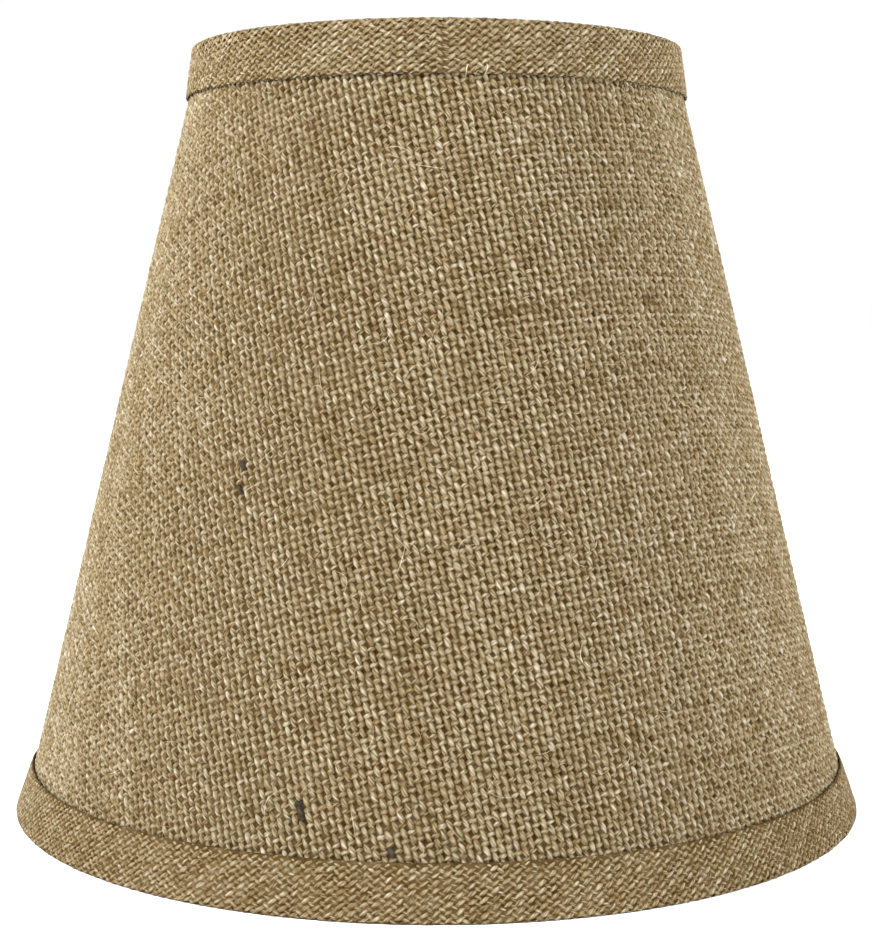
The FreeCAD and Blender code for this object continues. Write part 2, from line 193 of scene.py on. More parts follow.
# %% Start a finish
def new_material(name, constants):
    """A material, its empty graph and its shader; constants are set on the shader's own sockets."""
    material = bpy.data.materials.new(name)
    material.use_nodes = True
    tree = material.node_tree
    shader = tree.nodes["Principled BSDF"]
    for socket, value in constants.items():
        shader.inputs[socket].default_value = value
    return material, Socket(tree), shader


def feed(shader, socket, value):
    """Link a wrapped socket to one of the shader's inputs."""
    value.tree.links.new(value.output, shader.inputs[socket])


print("each finish starts with new_material and is filled with feed")

# %% [markdown]
# Jute is a coarse, dry bast fibre. Each yarn is a twist of pale and brown strands, so its colour is
# streaky along the yarn and one yarn differs from the next. The sides that dive between the other
# yarns are painted darker and browner: painted shade. The tone and depth of every crossing come as
# attributes of the mesh, and the streaks follow the yarn's own map, turned a little because the strands
# are twisted.

# %% Jute
STRAW = (0.37, 0.337, 0.274)
TAN = (0.188, 0.15, 0.086)
BARK = (0.095, 0.062, 0.023)
UMBER = (0.045, 0.026, 0.009)
RUST = (0.16, 0.095, 0.037)
STAIN = (0.011, 0.009, 0.009)
TWIST = math.radians(16)


def streaks(graph, along, across, detail):
    """Strand streaks from 0 to 1; along and across are their size on the yarn in millimetres."""
    on_yarn = graph.node("ShaderNodeUVMap", {"uv_map": "yarn"})
    twisted = graph.node("ShaderNodeMapping", {"vector_type": "TEXTURE"}, {
        "Vector": on_yarn, "Rotation": (0, 0, TWIST), "Scale": (along, across, 1)})
    return graph.node("ShaderNodeTexNoise", {"noise_dimensions": "2D"}, {
        "Vector": twisted, "Scale": 1.0, "Detail": detail, "Roughness": 0.6})


def jute_material(name):
    constants = {"IOR": 1.45, "Specular IOR Level": 0.03, "Sheen Weight": 0.03, "Sheen Roughness": 0.5}
    material, graph, shader = new_material(name, constants)
    tone = graph.node("ShaderNodeAttribute", {"attribute_name": "tone"}, output=2)
    depth = graph.node("ShaderNodeAttribute", {"attribute_name": "depth"}, output=2)
    speck = graph.node("ShaderNodeAttribute", {"attribute_name": "speck"}, output=2)
    strands = streaks(graph, 2.6, 0.3, 1.5)
    shade = tone * 0.75 + strands * 1.4 - 0.535
    # Painted shade: the deep ends and flanks of each hump are made darker and browner.
    colour = graph.node("ShaderNodeValToRGB", {"stops": [
        (0.0, UMBER), (0.22, BARK), (0.52, TAN), (0.95, STRAW)]}, {"Fac": shade - depth * 0.6})
    patches = streaks(graph, 2.2, 0.9, 1.0)
    rusty = graph.node("ShaderNodeMapRange", None, {
        "Value": patches, "From Min": 0.5, "From Max": 0.72, "To Min": 0.0, "To Max": 0.35})
    dyed = graph.node("ShaderNodeMix", {"data_type": "RGBA"}, {
        "Factor": rusty, "A": colour, "B": (*RUST, 1)}, output=2)
    stained = graph.node("ShaderNodeMix", {"data_type": "RGBA"}, {
        "Factor": speck, "A": dyed, "B": (*STAIN, 1)}, output=2)
    feed(shader, "Base Color", stained)
    feed(shader, "Roughness", 0.95 - strands * 0.25)
    relief = graph.node("ShaderNodeBump", None, {
        "Height": strands, "Strength": 1.0, "Distance": 0.45 * MM})
    feed(shader, "Normal", relief)
    return material


jute = jute_material("jute_yarn")
print("made", jute.name)

# %% [markdown]
# Between the yarns the gaps lie in deep shade, and that shade is painted: a dusty dark brown. It is
# only seen through the gaps, so blotches and a fine grain are enough.

# %% Painted shade of the gaps
def gap_shade_material():
    material, graph, shader = new_material("painted_gap_shade", {"Specular IOR Level": 0.0, "Roughness": 0.95})
    place = graph.node("ShaderNodeTexCoord", output=3)
    blotches = graph.node("ShaderNodeTexNoise", None, {"Vector": place, "Scale": 330.0, "Detail": 3.0})
    colour = graph.node("ShaderNodeValToRGB", {"stops": [
        (0.3, (0.028, 0.015, 0.004)), (0.52, (0.058, 0.036, 0.013)), (0.72, (0.092, 0.068, 0.038))]},
        {"Fac": blotches})
    feed(shader, "Base Color", colour)
    feed(shader, "Normal", graph.node("ShaderNodeBump", None, {
        "Height": blotches, "Strength": 0.6, "Distance": 0.3 * MM}))
    return material


gap_shade = gap_shade_material()
print("made", gap_shade.name)

# %% [markdown]
# A plain weave is a chequerboard of crossings: on every other one the upright yarn passes over, on
# the rest the level one does. Only the humps that lie on top are seen, so one hump is modelled and
# laid at every crossing. Bump alone would vanish at the outline and in the exported mesh. The hump is
# a small grid, bowed lengthwise so that its ends dive under the neighbours, and rounded across.

# %% One hump of yarn
def model_hump():
    """A grid of 4 by 3 faces; gives its points, from -1 to 1 along and across, and its faces."""
    bpy.ops.mesh.primitive_grid_add(x_subdivisions=4, y_subdivisions=3, size=2)
    hump = bpy.context.object
    points = np.array([vertex.co for vertex in hump.data.vertices])
    faces = np.array([list(face.vertices) for face in hump.data.polygons])
    bpy.data.objects.remove(hump)
    return points[:, 0], points[:, 1], faces


HUMP_ALONG, HUMP_ACROSS, HUMP_FACES = model_hump()
HUMP_BOW = 1 - np.cos(HUMP_ALONG * math.pi / 2)
HUMP_ROUND = 1 - np.sqrt(np.clip(1 - HUMP_ACROSS ** 2, 0, 1))
HUMP_TAPER = 1 - 0.12 * HUMP_ALONG ** 2
print(len(HUMP_FACES) * 2, "triangles in a hump")

# %% [markdown]
# Yarns wander, swell and fade. `wander` gives each yarn its own smooth wave, a sum of a few sine waves
# with random starts, so neighbours differ and nothing repeats. The wave lengths are in metres. Each
# trait has a share that is fixed for a whole yarn and a share that changes along it.

# %% Uneven yarns
chance = np.random.default_rng(7)
DRIFT_WAVES = (0.019, 0.043, 0.11)
SWELL_WAVES = (0.012, 0.03, 0.07)
FADE_WAVES = (0.014, 0.05, 0.13)
YARN_DRIFT = 0.35
YARN_SWELL, PLACE_SWELL = 0.06, 0.07
YARN_FADE, PLACE_FADE = 0.05, 0.06


def wander(yarn, place, lengths):
    """A smooth random wave, about -1 to 1, for each yarn number at a place along it."""
    phases = chance.uniform(0, 2 * math.pi, (len(lengths), yarn.max() + 1))
    waves = [np.sin(2 * math.pi * place / length + phase[yarn]) for length, phase in zip(lengths, phases)]
    return sum(waves) / math.sqrt(len(lengths))


def per_yarn(yarn, spread):
    """One random number for each yarn."""
    return chance.normal(0, spread, yarn.max() + 1)[yarn]


print("three waves each for drift, swell and fade")

# %% [markdown]
# A `Weave` is a stretch of plain weave in the flat: two families of parallel yarns, each with a
# direction and a step. It lists the crossings, and `lay` gives each one what its hump needs. Yarns
# could be modelled whole instead, but a humped yarn over the entire cover would be far heavier. The
# spreads below make no two humps alike.

# %% A stretch of weave
TURN_SPREAD = math.radians(3)
WIDTH_SPREAD, LENGTH_SPREAD, BOW_SPREAD = 0.045, 0.05, 0.08
PROUD_SPREAD = 0.03 * MM
MIDDLE_TONE, TONE_SPREAD = 0.55, 0.045


class Weave:
    """Crossings of two yarn families, in the flat cut, in metres."""

    def __init__(self, first_angle, second_angle, first_step, second_step, reach, origin=(0, 0)):
        self.first = np.array([math.cos(first_angle), math.sin(first_angle)])
        self.second = np.array([math.cos(second_angle), math.sin(second_angle)])
        between = abs(math.sin(second_angle - first_angle))
        self.first_run = second_step / between
        self.second_run = first_step / between
        count = int(reach / min(self.first_run, self.second_run)) + 2
        i, j = np.meshgrid(np.arange(2 * count), np.arange(2 * count), indexing="ij")
        i, j = i.ravel(), j.ravel()
        at = ((i - count)[:, None] * self.first * self.first_run
              + (j - count)[:, None] * self.second * self.second_run + origin)
        self.i, self.j, self.at = i, j, at

    def keep(self, inside):
        """Drop the crossings that lie outside."""
        self.i, self.j, self.at = self.i[inside], self.j[inside], self.at[inside]

    def lay(self, lean, reach, width, bow, girth, proud, bright, waver):
        """Fix the shape and tone of each hump; pairs are for the first and the second family."""
        i, j = self.i, self.j
        along_first, along_second = i * self.first_run, j * self.second_run
        sideways_first = np.array([-self.first[1], self.first[0]])
        sideways_second = np.array([-self.second[1], self.second[0]])
        drift_first = waver * wander(j, along_first, DRIFT_WAVES) + per_yarn(j, YARN_DRIFT * waver)
        drift_second = waver * wander(i, along_second, DRIFT_WAVES) + per_yarn(i, YARN_DRIFT * waver)
        self.at = (self.at + drift_first[:, None] * sideways_first
                   + drift_second[:, None] * sideways_second)
        swell_first = 1 + per_yarn(j, YARN_SWELL) + PLACE_SWELL * wander(j, along_first, SWELL_WAVES)
        swell_second = 1 + per_yarn(i, YARN_SWELL) + PLACE_SWELL * wander(i, along_second, SWELL_WAVES)
        fade_first = per_yarn(j, YARN_FADE) + PLACE_FADE * wander(j, along_first, FADE_WAVES)
        fade_second = per_yarn(i, YARN_FADE) + PLACE_FADE * wander(i, along_second, FADE_WAVES)
        on_top = (i + j) % 2 == 0

        def pick(pair):
            """The value of the family that passes over."""
            return np.where(on_top, *pair)

        turn = np.radians(pick(lean)) + chance.normal(0, TURN_SPREAD, len(i))
        way = np.where(on_top[:, None], self.first, self.second)
        self.way = np.stack([way[:, 0] * np.cos(turn) - way[:, 1] * np.sin(turn),
                             way[:, 0] * np.sin(turn) + way[:, 1] * np.cos(turn)], axis=1)
        swell = pick((swell_first, swell_second)) * chance.normal(1, WIDTH_SPREAD, len(i))
        run = pick((self.first_run, self.second_run))
        self.length = run * pick(reach) * chance.normal(1, LENGTH_SPREAD, len(i))
        self.width = pick(width) * swell
        self.bow = pick(bow) * chance.normal(1, BOW_SPREAD, len(i))
        self.girth = np.full(len(i), girth)
        self.proud = pick(proud) + chance.normal(0, PROUD_SPREAD, len(i))
        fade = pick((fade_first, fade_second))
        self.tone = MIDDLE_TONE + pick(bright) + fade + chance.normal(0, TONE_SPREAD, len(i))
        self.speck = np.zeros(len(i))


print("the first family passes over at every other crossing")

# %% [markdown]
# Operators would be slow with tens of thousands of humps, so their points and faces go into a mesh as
# whole arrays. A map gives each hump a small square of its own, which suits baking.

# %% Many humps in one mesh
SQUARE_SHARE = 0.92


def hump_faces(count):
    """The faces of many humps, one hump after another."""
    return (np.arange(count)[:, None, None] * len(HUMP_ALONG) + HUMP_FACES).reshape(-1, 4)


def hump_squares(count):
    """A map with one small square for each hump, in rows."""
    side = math.ceil(math.sqrt(count))
    number = np.arange(count)
    square = np.stack([number % side, number // side], axis=-1)[:, None]
    within = 0.5 + SQUARE_SHARE / 2 * np.stack([HUMP_ALONG, HUMP_ACROSS], axis=-1)
    return ((square + within) / side).reshape(-1, 2)


def smooth_quads(name, points, faces):
    """A smooth mesh from points and four-cornered faces."""
    mesh = bpy.data.meshes.new(name)
    mesh.vertices.add(len(points))
    mesh.vertices.foreach_set("co", points.reshape(-1).astype(np.float32))
    mesh.loops.add(faces.size)
    mesh.loops.foreach_set("vertex_index", faces.reshape(-1).astype(np.int32))
    mesh.polygons.add(len(faces))
    mesh.polygons.foreach_set("loop_start", np.arange(0, faces.size, 4, dtype=np.int32))
    mesh.polygons.foreach_set("use_smooth", np.ones(len(faces), dtype=bool))
    mesh.update(calc_edges=True)
    return mesh


def add_map(mesh, name, values):
    layer = mesh.uv_layers.new(name=name)
    layer.uv.foreach_set("vector", values.reshape(-1).astype(np.float32))


def add_attribute(mesh, name, values):
    attribute = mesh.attributes.new(name, "FLOAT", "POINT")
    attribute.data.foreach_set("value", values.astype(np.float32))


print("each hump has", len(HUMP_ALONG), "points")

# %% [markdown]
# The humps of a weave become one mesh: every hump is the same little grid, stretched, turned and
# carried from the flat onto the solid shape by a function. A yarn map in millimetres follows each
# hump for the strand streaks, and each hump reads the streaks at a random place of its own. The ends
# and the flanks of a hump count as deep, and the jute is painted darker there as painted shade.

# %% From the flat to a mesh
STREAK_FIELD = 400
STREAK_STAGGER = 0.37
END_PAINTED_SHADE, FLANK_PAINTED_SHADE = 0.75, 0.55


def weave_mesh(name, weave, chosen, place):
    """Humps of the chosen crossings; place(right, up, lift) carries flat points onto the shape."""
    at, way = weave.at[chosen], weave.way[chosen]
    sideways = np.stack([-way[:, 1], way[:, 0]], axis=1)
    length, width = weave.length[chosen, None], weave.width[chosen, None]
    bow, girth, proud = weave.bow[chosen, None], weave.girth[chosen, None], weave.proud[chosen, None]
    count = len(at)
    along = HUMP_ALONG * length / 2
    across = HUMP_ACROSS * HUMP_TAPER * width / 2
    right = at[:, :1] + along * way[:, :1] + across * sideways[:, :1]
    up = at[:, 1:] + along * way[:, 1:] + across * sideways[:, 1:]
    lift = proud - bow * HUMP_BOW - girth * HUMP_ROUND
    faces = hump_faces(count)
    mesh = smooth_quads(name, place(right, up, lift).reshape(-1, 3), faces)
    shift = chance.uniform(0, STREAK_FIELD, (count, 1))
    yarn_map = np.stack([along / MM + shift, across / MM + shift * STREAK_STAGGER], axis=-1)
    add_map(mesh, "yarn", yarn_map.reshape(-1, 2)[faces.reshape(-1)])
    add_map(mesh, "OFBake", hump_squares(count)[faces.reshape(-1)])
    # Depth weights the painted shade at the ends and flanks of each hump.
    depth = np.clip(END_PAINTED_SHADE * HUMP_BOW + FLANK_PAINTED_SHADE * HUMP_ROUND, 0, 1)
    add_attribute(mesh, "depth", np.tile(depth, count))
    add_attribute(mesh, "tone", np.repeat(weave.tone[chosen], len(HUMP_ALONG)))
    add_attribute(mesh, "speck", np.repeat(weave.speck[chosen], len(HUMP_ALONG)))
    piece = bpy.data.objects.new(name, mesh)
    bpy.context.collection.objects.link(piece)
    mesh.materials.append(jute)
    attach(piece, "shade")
    print(name, len(faces) * 2, "triangles")
    return piece


print("a hump's ends count as", END_PAINTED_SHADE, "deep and its flanks as", FLANK_PAINTED_SHADE)

# %% [markdown]
# The cover is cut flat as a sector and rolled, so its yarns are straight and parallel in the flat.
# They stand about 10 degrees off the middle of the front, which makes them lean more and more towards
# the sides. `roll` is that rolling: a point of the flat, measured from the apex, goes round the cone.
# At the back the outer end laps over the inner end and stands one cloth higher, after a short rise.

# %% Rolling the flat cut
LAP_RAMP = 1.5 * MM


def roll(right, up, lift):
    """Flat point to cone: up is towards the apex, and the middle of the front has right = 0."""
    slant = np.hypot(right, up)
    around = np.arctan2(right, -up) / math.sin(SLOPE)
    past_lap = slant * math.sin(SLOPE) * (around - math.pi) + LAP_HALF
    lift = lift + np.clip(past_lap / LAP_RAMP + 1, 0, 1) * LAP_RISE
    reach = slant * math.sin(SLOPE) + lift * math.cos(SLOPE)
    level = APEX - slant * math.cos(SLOPE) + lift * math.sin(SLOPE)
    return np.stack([reach * np.sin(around), -reach * np.cos(around), level], axis=-1)


def slant_at(level):
    """Distance from the apex, along the cone, of a level."""
    return (APEX - level) / math.cos(SLOPE)


print(f"the flat cut runs from {slant_at(WALL_HIGH):.3f} to {slant_at(WALL_LOW):.3f} m from the apex")

# %% [markdown]
# The upright yarns of the cover lie a little higher than the level ones, so they hide more of them.
# The weave runs a little way under the trims, and at the back it ends where the cloth's ends lap.

# %% Lay the cover's weave
WEAVE_TURN = math.radians(10.5)
LEVEL_YARN_STEP = 1.83 * MM
UPRIGHT_YARN_STEP = 1.756 * MM
TRIM_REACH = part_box("bottom_trim")[1].z
HIDDEN = 1.5 * MM


def way_round(at):
    """The angle round the cone of flat points, from the middle of the front."""
    return np.arctan2(at[:, 0], -at[:, 1]) / math.sin(SLOPE)


cover_weave = Weave(WEAVE_TURN, WEAVE_TURN + math.pi / 2, LEVEL_YARN_STEP, UPRIGHT_YARN_STEP,
                    slant_at(0))
slant = np.hypot(*cover_weave.at.T)
around = way_round(cover_weave.at)
arc = slant * math.sin(SLOPE)
cover_weave.keep((slant > slant_at(HEIGHT - TRIM_REACH + HIDDEN)) & (slant < slant_at(TRIM_REACH - HIDDEN))
                 & (arc * (around - math.pi) < LAP_HALF) & (arc * (around + math.pi) > -LAP_HALF))
cover_weave.lay(lean=(12, 13), reach=(1.5, 1.85), width=(1.4 * MM, 1.42 * MM), bow=(0.7 * MM, 0.78 * MM),
                girth=0.68 * MM, proud=(-0.08 * MM, 0.1 * MM), bright=(-0.05, 0.04), waver=0.07 * MM)
print(len(cover_weave.at), "crossings on the cover")

# %% [markdown]
# A few places differ, as they do in real burlap: one brown yarn, one knot and four dark specks. Their
# places are given in the flat cut, and each speck has its half length.

# %% Specks, a brown yarn and a knot
SPECKS = (((-48.9 * MM, -366.8 * MM), 1.3 * MM),
          ((-48.4 * MM, -371.3 * MM), 0.95 * MM),
          ((-32.0 * MM, -446.6 * MM), 2.6 * MM),
          ((-9.7 * MM, -456.0 * MM), 1.6 * MM))
SPECK_HALF_WIDTH = 0.9 * MM
SPECK_STRENGTH = 0.86
BROWN_YARN = ((10.6 * MM, -332.0 * MM), (31.0 * MM, -329.5 * MM))
BROWN_HALF_WIDTH = 0.95 * MM
BROWN_DARKER, BROWN_THICKER = 0.3, 1.2
KNOT = (56.4 * MM, -325.0 * MM)
KNOT_RADIUS = 2.6 * MM
KNOT_DARKER = 0.22


def beside(weave, spot):
    """How far each crossing is from a spot, along the level and the upright yarns."""
    away = weave.at - spot
    return abs(away @ weave.first), abs(away @ weave.second)


for spot, half_length in SPECKS:
    level_way, upright_way = beside(cover_weave, spot)
    cover_weave.speck[(level_way < SPECK_HALF_WIDTH) & (upright_way < half_length)] = SPECK_STRENGTH
start, end = np.array(BROWN_YARN)
level_way, upright_way = beside(cover_weave, (start + end) / 2)
brown = (level_way < np.linalg.norm(end - start) / 2) & (upright_way < BROWN_HALF_WIDTH)
cover_weave.tone[brown] -= BROWN_DARKER
cover_weave.width[brown] *= BROWN_THICKER
level_way, upright_way = beside(cover_weave, KNOT)
cover_weave.tone[np.hypot(level_way, upright_way) < KNOT_RADIUS] -= KNOT_DARKER
print(np.count_nonzero(cover_weave.speck), "dark humps and", np.count_nonzero(brown), "brown ones")

# %% [markdown]
# One mesh for the whole cover would be too heavy to handle, so its humps are split into six pieces round
# the cone. Nothing shows where they meet, because each hump stays whole.

# %% The cover's weave as pieces
SECTORS = 6
around = way_round(cover_weave.at)
sector = np.clip((around / (2 * math.pi) + 0.5) * SECTORS, 0, SECTORS - 1).astype(int)
for number in range(SECTORS):
    weave_mesh(f"cover_weave_{number + 1}", cover_weave, sector == number, roll)

# %% [markdown]
# The plain bodies of the cloths are modelled with operators, as by hand. Three small tools help: one
# selects faces by their place, one gives a skin its thickness, and one puts a piece's place in its mesh.

# %% Tools for the plain cloths
def select_faces(piece, test):
    """In edit mode, select the faces whose middle passes the test."""
    shape = bmesh.from_edit_mesh(piece.data)
    for face in shape.faces:
        face.select_set(test(face.calc_center_median()))
    bmesh.update_edit_mesh(piece.data)


def thicken(piece, thickness):
    """Give a skin a wall, inwards from its own face."""
    solidify = piece.modifiers.new("thickness", "SOLIDIFY")
    solidify.thickness = thickness
    solidify.offset = -1
    bpy.context.view_layer.objects.active = piece
    bpy.ops.object.modifier_apply(modifier=solidify.name)


def settle(piece, name):
    """Give a finished piece its name and put its place into its mesh."""
    bpy.ops.object.select_all(action="DESELECT")
    piece.select_set(True)
    bpy.context.view_layer.objects.active = piece
    bpy.ops.object.transform_apply(location=True, rotation=True, scale=True)
    piece.name = name


print("tools: select_faces, thicken and settle")

# %% [markdown]
# Under the yarns lies a plain cone, the cloth's own body, which closes the gaps between the humps and
# carries their painted shade. It starts as a cone primitive. Four cuts at the back mark out the lap
# between the trims, and that strip is pulled outwards by the thickness of one cloth.

# %% Cloth of the cover
COVER_SINK = 0.78 * MM
COVER_BODY = 0.12 * MM


def make_cover_cloth():
    sunk = COVER_SINK / math.cos(SLOPE)
    bpy.ops.object.select_all(action="DESELECT")
    bpy.ops.mesh.primitive_cone_add(vertices=240, radius1=RADIUS_LOW - sunk, radius2=RADIUS_HIGH - sunk,
                                    depth=WALL_HIGH - WALL_LOW, end_fill_type="NOTHING",
                                    location=(0, 0, (WALL_LOW + WALL_HIGH) / 2))
    piece = bpy.context.object
    settle(piece, "cover_cloth")
    bpy.ops.object.mode_set(mode="EDIT")
    low, high = TRIM_REACH - HIDDEN, HEIGHT - TRIM_REACH + HIDDEN
    cuts = [((LAP_HALF, 0, 0), (1, 0, 0)), ((-LAP_HALF, 0, 0), (1, 0, 0)),
            ((0, 0, low), (0, 0, 1)), ((0, 0, high), (0, 0, 1))]
    for through, facing in cuts:
        select_faces(piece, lambda middle: middle.y > 0)
        bpy.ops.mesh.bisect(plane_co=through, plane_no=facing)
    select_faces(piece, lambda middle: middle.y > 0 and abs(middle.x) < LAP_HALF and low < middle.z < high)
    bpy.ops.mesh.extrude_region_shrink_fatten(TRANSFORM_OT_shrink_fatten={"value": LAP_RISE})
    bpy.ops.object.mode_set(mode="OBJECT")
    thicken(piece, COVER_BODY)
    bpy.ops.object.shade_smooth_by_angle(angle=math.radians(30))
    piece.data.materials.clear()
    # The cover's body carries the painted shade of the gaps between the yarns.
    piece.data.materials.append(gap_shade)
    return piece


cover_cloth = make_cover_cloth()
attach(cover_cloth, "shade")
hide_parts("burlap_cover")
print(cover_cloth.name, len(cover_cloth.data.polygons), "faces")

# %% [markdown]
# A trim is a bias-cut strip folded over the edge: a padded leg outside, the fold round the ring, and a
# flat leg inside. The outside edge is tucked under, and only its small round lip shows. The section is
# drawn as a few points, each a distance in from the shade's edge and a distance out from the cover's
# face, and smoothed. The top trim stands up a little more at its fold, by `TOP_LOFT`. Along the strip,
# up is always upwards on the outside, so both trims slant one way.

# %% Section of a trim
FOLD_SECTION = [
    (12.6, 0.0), (12.72, 0.2), (12.72, 0.55), (12.3, 0.9), (9.6, 1.25), (5.5, 1.7),
    (2.4, 1.98), (0.7, 2.15), (0.13, 1.8), (0.15, -0.3), (0.15, -3.3), (0.9, -4.5),
    (3.2, -4.75), (5.8, -3.6), (8.4, -2.5), (9.0, -2.0), (8.7, -1.6)]
TOP_LOFT = 0.7 * MM


def smooth_line(points, between=24):
    """A Catmull-Rom curve through the points."""
    points = np.array(points, float)
    padded = np.vstack([2 * points[0] - points[1], points, 2 * points[-1] - points[-2]])
    step = np.linspace(0, 1, between, endpoint=False)[:, None]
    pieces = []
    for a, b, c, d in zip(padded, padded[1:], padded[2:], padded[3:]):
        pieces.append(0.5 * (2 * b + (c - a) * step + (2 * a - 5 * b + 4 * c - d) * step ** 2
                             + (3 * b - a - 3 * c + d) * step ** 3))
    return np.vstack(pieces + [points[-1:]])


print(len(FOLD_SECTION), "points in the section of a trim")

# %% [markdown]
# A `Fold` is that section at one end of the cone. It knows how far each of its points lies along the
# strip and which way the cloth faces there, so it can carry the flat strip round the edge of the shade.

# %% The folded strip
class Fold:
    """The section of one trim as a curve of radius and level, which rises on the outside."""

    def __init__(self, at_top):
        inward, outward = (smooth_line(FOLD_SECTION) * MM).T
        if at_top:
            inward = inward - TOP_LOFT * (1 - inward / inward.max())
        level = HEIGHT - inward if at_top else inward
        radius = radius_at(level) + outward / math.cos(SLOPE)
        self.line = np.stack([radius, level], axis=1)[::1 if at_top else -1]
        self.lip_first = at_top
        steps = np.linalg.norm(np.diff(self.line, axis=0), axis=1)
        self.run = np.concatenate([[0], np.cumsum(steps)])
        tangent = np.gradient(self.line, self.run, axis=0)
        self.normal = np.stack([tangent[:, 1], -tangent[:, 0]], axis=1)
        self.normal /= np.linalg.norm(self.normal, axis=1)[:, None]
        self.reference = radius.max()
        self.edge = self.run[abs(self.line[:, 1] - (HEIGHT if at_top else 0)).argmin()]

    def from_lip(self, up):
        """How far along the strip from its tucked outside edge."""
        return up if self.lip_first else self.run[-1] - up

    def wrap(self, right, up, lift):
        """Flat strip to fold: right is round the shade, up is the distance along the section."""
        around = right / self.reference
        radius, level, out_r, out_z = (np.interp(up, self.run, values) for values in
                                       (*self.line.T, *self.normal.T))
        radius = radius + out_r * lift
        return np.stack([radius * np.sin(around), -radius * np.cos(around), level + out_z * lift], axis=-1)


bottom_fold, top_fold = Fold(at_top=False), Fold(at_top=True)
print(f"the strips are {bottom_fold.run[-1]:.4f} and {top_fold.run[-1]:.4f} m wide")

# %% [markdown]
# The body of a trim is a ring of edges drawn out along that section, one loop after another, as it
# would be by hand with extrude and scale.

# %% Draw a ring out along a section
RING_SEGMENTS = 200


def draw_out_ring(name, section):
    """Start with a circle and extrude it through every point of a section of (radius, level)."""
    radius, level = section[0]
    bpy.ops.object.select_all(action="DESELECT")
    bpy.ops.mesh.primitive_circle_add(vertices=RING_SEGMENTS, radius=radius, location=(0, 0, level))
    piece = bpy.context.object
    settle(piece, name)
    bpy.ops.object.mode_set(mode="EDIT")
    bpy.ops.mesh.select_all(action="SELECT")
    for (radius_before, level_before), (radius, level) in zip(section, section[1:]):
        bpy.ops.mesh.extrude_region_move(TRANSFORM_OT_translate={"value": (0, 0, level - level_before)})
        ratio = radius / radius_before
        bpy.ops.transform.resize(value=(ratio, ratio, 1), center_override=(0, 0, 0))
    return piece


print(RING_SEGMENTS, "points in each loop of a ring")

# %% [markdown]
# A trim's body lies just under its humps, less deep at the lip, and stops short of the strip's two edges.
# It carries the painted shade of the gaps, and it is given its thickness last.

# %% Cloth of a trim
TRIM_SINK = 0.55 * MM
LIP_LENGTH = 2 * MM
LIP_SINK_SHARE = 0.3
LIP_SETBACK, INNER_SETBACK = 0.3 * MM, 0.9 * MM
SECTION_LOOPS = 44
TRIM_BODY = 0.2 * MM


def make_trim_cloth(name, fold, node):
    sink = TRIM_SINK * np.clip(fold.from_lip(fold.run) / LIP_LENGTH, LIP_SINK_SHARE, 1)
    sunk = fold.line - fold.normal * sink[:, None]
    ends = (LIP_SETBACK, INNER_SETBACK) if fold.lip_first else (INNER_SETBACK, LIP_SETBACK)
    places = np.linspace(ends[0], fold.run[-1] - ends[1], SECTION_LOOPS)
    picked = np.interp(places, fold.run, np.arange(len(fold.run))).round()
    section = [tuple(map(float, sunk[int(index)])) for index in picked]
    piece = draw_out_ring(name, section)
    bpy.ops.mesh.select_all(action="SELECT")
    bpy.ops.mesh.normals_make_consistent(inside=False)
    bpy.ops.object.mode_set(mode="OBJECT")
    thicken(piece, TRIM_BODY)
    bpy.ops.object.shade_smooth()
    # The trim's body carries the painted shade of the gaps between the yarns.
    piece.data.materials.append(gap_shade)
    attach(piece, "shade")
    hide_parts(node)
    print(name, len(piece.data.polygons), "faces")
    return piece


bottom_cloth = make_trim_cloth("bottom_trim_cloth", bottom_fold, "bottom_trim")
top_cloth = make_trim_cloth("top_trim_cloth", top_fold, "top_trim")

# %% [markdown]
# On the bias the two yarn families cross the strip on a slant, and pulling it round the ring closes
# the angle between them. The weave is laid in the flat strip and wrapped round the section. Where the
# strip is pulled tight round the ring its yarns are pressed flat, so the edge of the shade is smooth.
# Towards the tucked edge they lie in the shade of the lip and are a little darker.

# %% Weave of a trim
RISING_YARN = math.radians(36.5)
FALLING_YARN = math.radians(-27)
RISING_YARN_STEP = 1.38 * MM
FALLING_YARN_STEP = 1.5 * MM
END_GAP, SIDE_GAP = 0.3 * MM, 0.1 * MM
PRESSED = 2.2 * MM
PRESSED_SHARE = 0.65
TUCK = 1.2 * MM
TUCK_DARKER = 0.1


def make_trim_weave(name, fold, parts, join, painted_shade):
    """Humps all round the strip, in a few pieces; join is where the strip's ends meet, in radians."""
    length = 2 * math.pi * fold.reference
    width = fold.run[-1]
    weave = Weave(RISING_YARN, FALLING_YARN, RISING_YARN_STEP, FALLING_YARN_STEP, length * 0.75,
                  origin=(0, width / 2))
    right, up = weave.at.T
    weave.keep((abs(right) < length / 2 - END_GAP) & (up > SIDE_GAP) & (up < width - SIDE_GAP))
    weave.lay(lean=(-5, -5), reach=(1.85, 1.6), width=(1.12 * MM, 1.1 * MM), bow=(0.5 * MM, 0.5 * MM),
              girth=0.42 * MM, proud=(0.05 * MM, -0.02 * MM), bright=(0.0, -0.08), waver=0.05 * MM)
    pressed = 1 - PRESSED_SHARE * np.exp(-((weave.at[:, 1] - fold.edge) / PRESSED) ** 2)
    weave.bow *= pressed
    weave.girth *= pressed
    tucked = np.clip(1 - fold.from_lip(weave.at[:, 1]) / TUCK, 0, 1)
    # The trim's tone offset is painted shade, and so is the darkening of the humps near the tucked edge.
    weave.tone += painted_shade - TUCK_DARKER * tucked
    share = weave.at[:, 0] / length + 0.5
    weave.at[:, 0] += (join + math.pi) * fold.reference
    part = np.clip(share * parts, 0, parts - 1).astype(int)
    return [weave_mesh(f"{name}_{number + 1}", weave, part == number, fold.wrap)
            for number in range(parts)]


